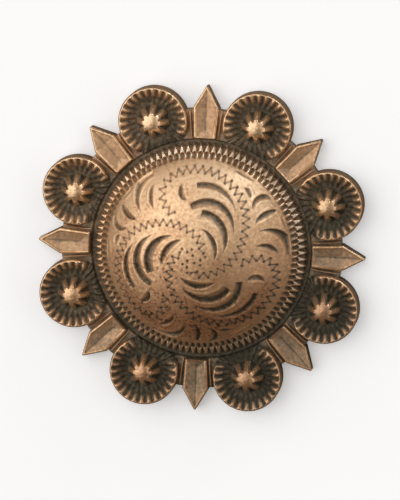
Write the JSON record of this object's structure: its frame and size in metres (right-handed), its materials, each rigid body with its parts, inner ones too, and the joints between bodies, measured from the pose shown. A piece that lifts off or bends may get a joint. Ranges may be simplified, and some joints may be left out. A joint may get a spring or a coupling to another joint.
{
  "type": "concho",
  "caption": "Round domed metal concho with a gouged whirl on the dome, a border of berries and pointed leaves, a hollow back and a tapped post.",
  "frame": {"origin": "centre of the flat back plane that lies on the leather", "axes": "+Z out of the face, +Y towards the leaf that points up in the picture"},
  "size_m": [0.0364, 0.0364, 0.0084],
  "materials": {
    "antique_copper": "antiqued, rubbed bright on the high places and blackened in the recesses",
    "plain_brass": "plain turned"
  },
  "bodies": {
    "root": {"cast_face": "antique_copper", "threaded_post": "plain_brass"}
  },
  "joints": []
}
